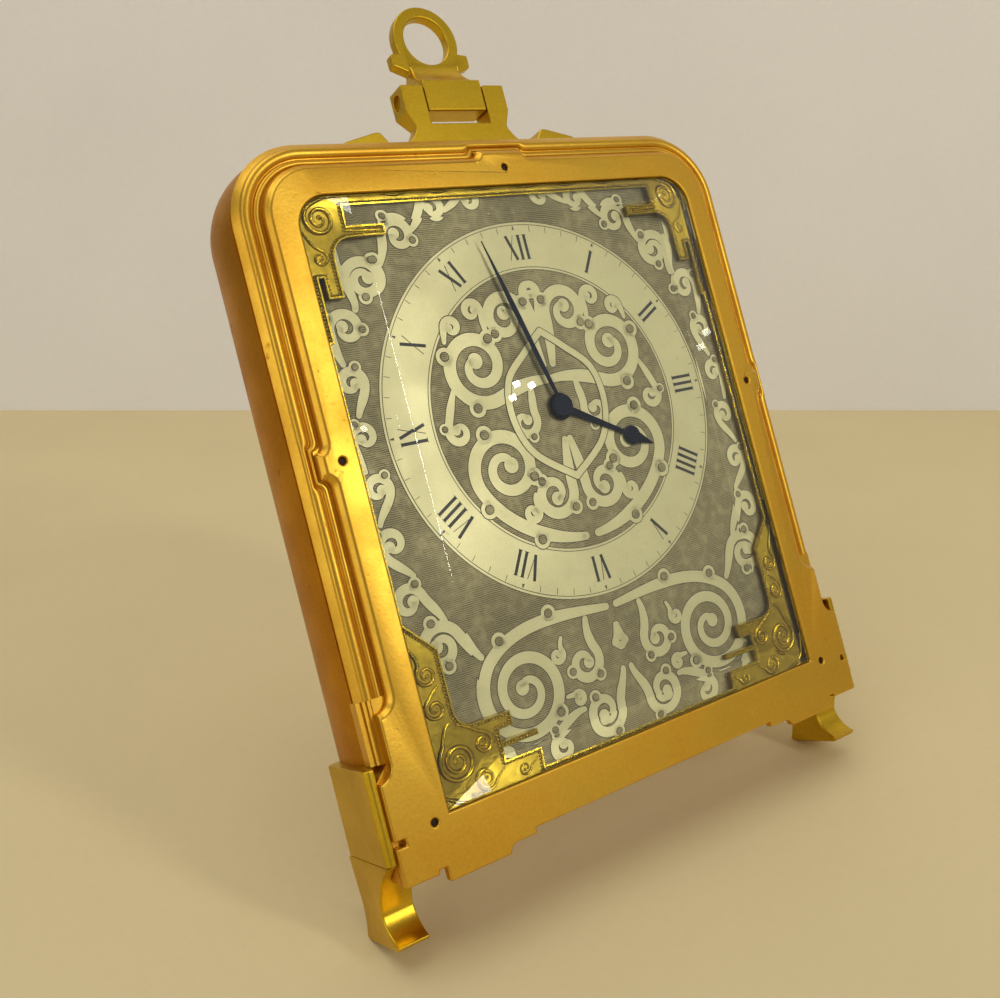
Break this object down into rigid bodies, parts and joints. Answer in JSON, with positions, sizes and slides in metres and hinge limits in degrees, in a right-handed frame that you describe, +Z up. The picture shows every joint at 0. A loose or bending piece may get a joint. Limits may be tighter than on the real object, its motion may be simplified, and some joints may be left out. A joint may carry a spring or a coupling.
{
  "type": "strut clock",
  "caption": "Flat gilt desk clock that leans back on two scroll feet and a hinged strut, with bevelled glass, chased mask, silvered dial, ringed crest and lever movement",
  "frame": {"origin": "bottom centre of the whole clock's box, with the strut open", "axes": "+X right as seen from the front, +Y back, +Z up"},
  "size_m": [0.0936, 0.0762, 0.1293],
  "materials": {
    "gilt_plate": "matte gilding",
    "band_gilt": "satin gilding, darker with age",
    "satin_brass": "satin brass",
    "glass": "clear, wide polished bevels",
    "mask_gilt": "bright gilding, chased",
    "silvered": "silvered and engraved",
    "blued_steel": "blued",
    "polished_steel": "polished",
    "movement_brass": "brushed and lacquered"
  },
  "bodies": {
    "case": {"front_plate": "gilt_plate", "bead_frame": "band_gilt", "case_band": "band_gilt", "case_back": "band_gilt", "case_floor": "band_gilt", "side_block_left": "satin_brass", "side_block_right": "satin_brass", "foot_left": "satin_brass", "foot_right": "satin_brass", "crest_plate": "satin_brass", "ring_pin": "satin_brass", "plate_pins": "satin_brass", "glass": "glass", "gilt_mask": "mask_gilt", "dial": "silvered", "dial_feet": "movement_brass", "pillar_plate": "movement_brass", "top_plate": "movement_brass", "pillars": "movement_brass", "plate_screws": "blued_steel", "front_posts": "movement_brass", "standoffs": "movement_brass", "case_screws": "blued_steel", "balance_cock": "movement_brass", "hairspring": "blued_steel", "small_screws": "blued_steel", "hinge_lug": "satin_brass", "hinge_pin": "satin_brass", "click_spring": "blued_steel", "minute_stud": "polished_steel"},
    "ring": {"suspension_ring": "satin_brass"},
    "strut": {"strut_leg": "satin_brass"},
    "hour": {"hour_hand": "blued_steel", "hour_wheel": "movement_brass"},
    "minute": {"minute_hand": "blued_steel", "hand_collet": "blued_steel", "cannon_pinion": "polished_steel", "set_arbor": "polished_steel"},
    "motion": {"minute_wheel": "movement_brass"},
    "barrel": {"barrel": "movement_brass", "barrel_cover": "movement_brass", "mainspring": "polished_steel"},
    "winding": {"barrel_arbor": "polished_steel", "ratchet_wheel": "polished_steel"},
    "click": {"click": "polished_steel"},
    "shutter": {"winding_shutter": "satin_brass"},
    "intermediate": {"intermediate_wheel": "movement_brass", "intermediate_arbor": "polished_steel"},
    "centre": {"centre_wheel": "movement_brass", "centre_arbor": "polished_steel"},
    "third": {"third_wheel": "movement_brass", "third_arbor": "polished_steel"},
    "fourth": {"fourth_wheel": "movement_brass", "fourth_arbor": "polished_steel"},
    "escape": {"escape_wheel": "movement_brass", "escape_arbor": "polished_steel"},
    "lever": {"lever": "polished_steel"},
    "balance": {"balance_wheel": "movement_brass", "balance_staff": "polished_steel"}
  },
  "joints": [
    {"name": "ring_swing", "type": "hinge", "parent": "case", "child": "ring", "pos_m": [0, 0.01871, 0.11369], "axis": [1, 0, 0], "range_deg": [-90, 90]},
    {"name": "strut_fold", "type": "hinge", "parent": "case", "child": "strut", "pos_m": [0, 0.00915, 0.07821], "axis": [1, 0, 0], "range_deg": [-44, 0]},
    {"name": "minute_turn", "type": "hinge", "parent": "case", "child": "minute", "pos_m": [0, -0.01105, 0.0675], "axis": [0, 0.9135, -0.4067], "continuous": true},
    {"name": "hour_turn", "type": "hinge", "parent": "case", "child": "hour", "pos_m": [0, -0.01059, 0.0673], "axis": [0, 0.9135, -0.4067], "continuous": true},
    {"name": "motion_turn", "type": "hinge", "parent": "case", "child": "motion", "pos_m": [-0.00424, -0.01049, 0.06261], "axis": [0, 0.9135, -0.4067], "continuous": true},
    {"name": "train_run", "type": "hinge", "parent": "case", "child": "fourth", "pos_m": [0.01103, -0.00874, 0.0567], "axis": [0, 0.9135, -0.4067], "continuous": true},
    {"name": "escape_turn", "type": "hinge", "parent": "case", "child": "escape", "pos_m": [0.01401, -0.00665, 0.0614], "axis": [0, 0.9135, -0.4067], "continuous": true},
    {"name": "third_turn", "type": "hinge", "parent": "case", "child": "third", "pos_m": [0.00408, -0.00799, 0.0584], "axis": [0, 0.9135, -0.4067], "continuous": true},
    {"name": "centre_turn", "type": "hinge", "parent": "case", "child": "centre", "pos_m": [0, -0.00511, 0.06486], "axis": [0, 0.9135, -0.4067], "continuous": true},
    {"name": "intermediate_turn", "type": "hinge", "parent": "case", "child": "intermediate", "pos_m": [-0.00415, -0.00186, 0.07215], "axis": [0, 0.9135, -0.4067], "continuous": true},
    {"name": "barrel_turn", "type": "hinge", "parent": "case", "child": "barrel", "pos_m": [-0.0175, -0.00196, 0.0744], "axis": [0, 0.9135, -0.4067], "continuous": true},
    {"name": "winding_turn", "type": "hinge", "parent": "case", "child": "winding", "pos_m": [-0.0175, 0.00078, 0.07318], "axis": [0, 0.9135, -0.4067], "continuous": true},
    {"name": "click_lift", "type": "hinge", "parent": "case", "child": "click", "pos_m": [-0.01326, -0.00091, 0.0684], "axis": [0, 0.9135, -0.4067], "range_deg": [0, 8]},
    {"name": "shutter_swing", "type": "hinge", "parent": "case", "child": "shutter", "pos_m": [-0.0175, 0.00664, 0.07823], "axis": [0, 0.9135, -0.4067], "range_deg": [0, 75]},
    {"name": "lever_rock", "type": "hinge", "parent": "case", "child": "lever", "pos_m": [0.01481, -0.0048, 0.06555], "axis": [0, 0.9135, -0.4067], "range_deg": [-5, 5]},
    {"name": "balance_swing", "type": "hinge", "parent": "case", "child": "balance", "pos_m": [0.01585, 0.00007, 0.06985], "axis": [0, 0.9135, -0.4067], "range_deg": [-135, 135]}
  ],
  "couplings": [
    {"joint": "hour_turn", "follows": "minute_turn", "ratio": 0.083333},
    {"joint": "motion_turn", "follows": "minute_turn", "ratio": -0.33333},
    {"joint": "escape_turn", "follows": "train_run", "ratio": -10},
    {"joint": "third_turn", "follows": "train_run", "ratio": -0.125},
    {"joint": "centre_turn", "follows": "train_run", "ratio": 0.016667},
    {"joint": "intermediate_turn", "follows": "train_run", "ratio": -0.0033333},
    {"joint": "barrel_turn", "follows": "train_run", "ratio": 0.00041667}
  ]
}
